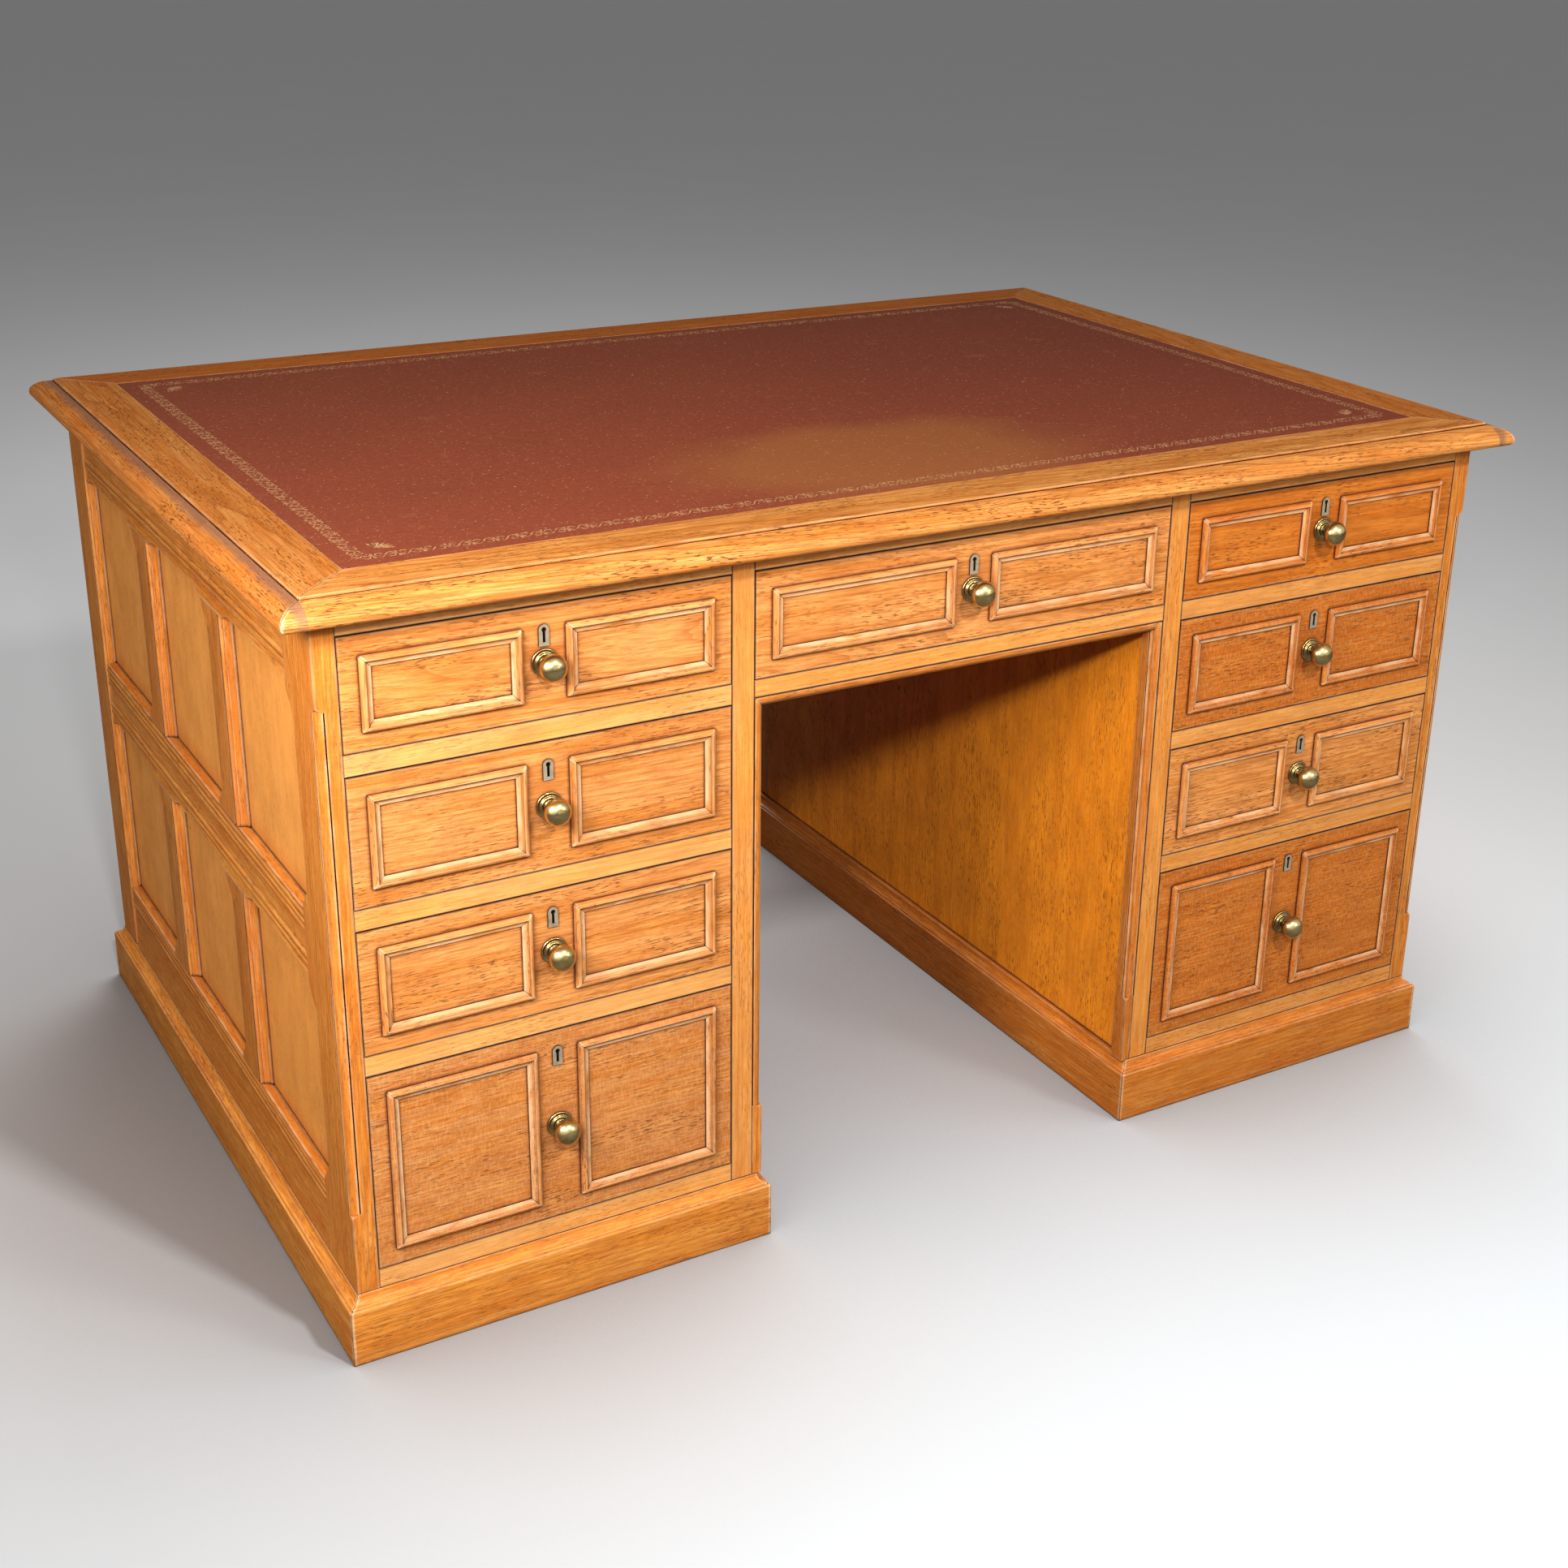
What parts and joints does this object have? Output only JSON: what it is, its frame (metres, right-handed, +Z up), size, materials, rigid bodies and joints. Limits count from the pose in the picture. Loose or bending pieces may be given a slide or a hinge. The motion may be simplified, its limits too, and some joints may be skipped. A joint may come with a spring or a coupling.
{
  "type": "kneehole_desk",
  "caption": "Kneehole desk in golden oak with a tooled leather top, framed sides, moulded drawer fronts and brass knobs",
  "frame": {"origin": "middle of the footprint on the floor", "axes": "+X to the right seen from the front, +Y to the back, +Z up"},
  "size_m": [1.414, 0.95, 0.775],
  "materials": {
    "oak_top": "waxed golden oak, open pores",
    "oak_frame": "waxed golden oak, open pores",
    "oak_rail": "waxed pale golden oak",
    "oak_panel": "waxed plain sawn oak panel",
    "oak_drawer": "waxed quarter sawn oak, reddish",
    "oak_inside": "unfinished oak",
    "hide": "red brown hide with gold tooling",
    "brass": "aged polished brass",
    "steel": "aged steel"
  },
  "bodies": {
    "carcass": {"top_border": "oak_top", "top_panel": "oak_inside", "leather": "hide", "top_moulding": "oak_top", "left_side_frame": "oak_frame", "right_side_frame": "oak_frame", "side_panels": "oak_panel", "front_frame": "oak_rail", "kneehole_bead": "oak_frame", "inner_sides": "oak_panel", "back_frame": "oak_frame", "back_panels": "oak_panel", "plinths": "oak_frame", "runners": "oak_inside", "bottom_boards": "oak_inside"},
    "left_1_drawer": {"left_1_front": "oak_drawer", "left_1_box": "oak_inside", "left_1_knob": "brass", "left_1_lock": "brass"},
    "left_1_lock_bolt": {"left_1_bolt": "steel"},
    "left_2_drawer": {"left_2_front": "oak_drawer", "left_2_box": "oak_inside", "left_2_knob": "brass", "left_2_lock": "brass"},
    "left_2_lock_bolt": {"left_2_bolt": "steel"},
    "left_3_drawer": {"left_3_front": "oak_drawer", "left_3_box": "oak_inside", "left_3_knob": "brass", "left_3_lock": "brass"},
    "left_3_lock_bolt": {"left_3_bolt": "steel"},
    "left_4_drawer": {"left_4_front": "oak_drawer", "left_4_box": "oak_inside", "left_4_knob": "brass", "left_4_lock": "brass"},
    "left_4_lock_bolt": {"left_4_bolt": "steel"},
    "centre_drawer": {"centre_front": "oak_drawer", "centre_box": "oak_inside", "centre_knob": "brass", "centre_lock": "brass"},
    "centre_lock_bolt": {"centre_bolt": "steel"},
    "right_1_drawer": {"right_1_front": "oak_drawer", "right_1_box": "oak_inside", "right_1_knob": "brass", "right_1_lock": "brass"},
    "right_1_lock_bolt": {"right_1_bolt": "steel"},
    "right_2_drawer": {"right_2_front": "oak_drawer", "right_2_box": "oak_inside", "right_2_knob": "brass", "right_2_lock": "brass"},
    "right_2_lock_bolt": {"right_2_bolt": "steel"},
    "right_3_drawer": {"right_3_front": "oak_drawer", "right_3_box": "oak_inside", "right_3_knob": "brass", "right_3_lock": "brass"},
    "right_3_lock_bolt": {"right_3_bolt": "steel"},
    "right_4_drawer": {"right_4_front": "oak_drawer", "right_4_box": "oak_inside", "right_4_knob": "brass", "right_4_lock": "brass"},
    "right_4_lock_bolt": {"right_4_bolt": "steel"}
  },
  "joints": [
    {"name": "left_1_slide", "type": "slide", "parent": "carcass", "child": "left_1_drawer", "axis": [0, -1, 0], "range_m": [0, 0.5]},
    {"name": "left_1_bolt_throw", "type": "slide", "parent": "left_1_drawer", "child": "left_1_lock_bolt", "axis": [0, 0, 1], "range_m": [0, 0.006]},
    {"name": "left_2_slide", "type": "slide", "parent": "carcass", "child": "left_2_drawer", "axis": [0, -1, 0], "range_m": [0, 0.5]},
    {"name": "left_2_bolt_throw", "type": "slide", "parent": "left_2_drawer", "child": "left_2_lock_bolt", "axis": [0, 0, 1], "range_m": [0, 0.006]},
    {"name": "left_3_slide", "type": "slide", "parent": "carcass", "child": "left_3_drawer", "axis": [0, -1, 0], "range_m": [0, 0.5]},
    {"name": "left_3_bolt_throw", "type": "slide", "parent": "left_3_drawer", "child": "left_3_lock_bolt", "axis": [0, 0, 1], "range_m": [0, 0.006]},
    {"name": "left_4_slide", "type": "slide", "parent": "carcass", "child": "left_4_drawer", "axis": [0, -1, 0], "range_m": [0, 0.5]},
    {"name": "left_4_bolt_throw", "type": "slide", "parent": "left_4_drawer", "child": "left_4_lock_bolt", "axis": [0, 0, 1], "range_m": [0, 0.006]},
    {"name": "centre_slide", "type": "slide", "parent": "carcass", "child": "centre_drawer", "axis": [0, -1, 0], "range_m": [0, 0.5]},
    {"name": "centre_bolt_throw", "type": "slide", "parent": "centre_drawer", "child": "centre_lock_bolt", "axis": [0, 0, 1], "range_m": [0, 0.006]},
    {"name": "right_1_slide", "type": "slide", "parent": "carcass", "child": "right_1_drawer", "axis": [0, -1, 0], "range_m": [0, 0.5]},
    {"name": "right_1_bolt_throw", "type": "slide", "parent": "right_1_drawer", "child": "right_1_lock_bolt", "axis": [0, 0, 1], "range_m": [0, 0.006]},
    {"name": "right_2_slide", "type": "slide", "parent": "carcass", "child": "right_2_drawer", "axis": [0, -1, 0], "range_m": [0, 0.5]},
    {"name": "right_2_bolt_throw", "type": "slide", "parent": "right_2_drawer", "child": "right_2_lock_bolt", "axis": [0, 0, 1], "range_m": [0, 0.006]},
    {"name": "right_3_slide", "type": "slide", "parent": "carcass", "child": "right_3_drawer", "axis": [0, -1, 0], "range_m": [0, 0.5]},
    {"name": "right_3_bolt_throw", "type": "slide", "parent": "right_3_drawer", "child": "right_3_lock_bolt", "axis": [0, 0, 1], "range_m": [0, 0.006]},
    {"name": "right_4_slide", "type": "slide", "parent": "carcass", "child": "right_4_drawer", "axis": [0, -1, 0], "range_m": [0, 0.5]},
    {"name": "right_4_bolt_throw", "type": "slide", "parent": "right_4_drawer", "child": "right_4_lock_bolt", "axis": [0, 0, 1], "range_m": [0, 0.006]}
  ]
}
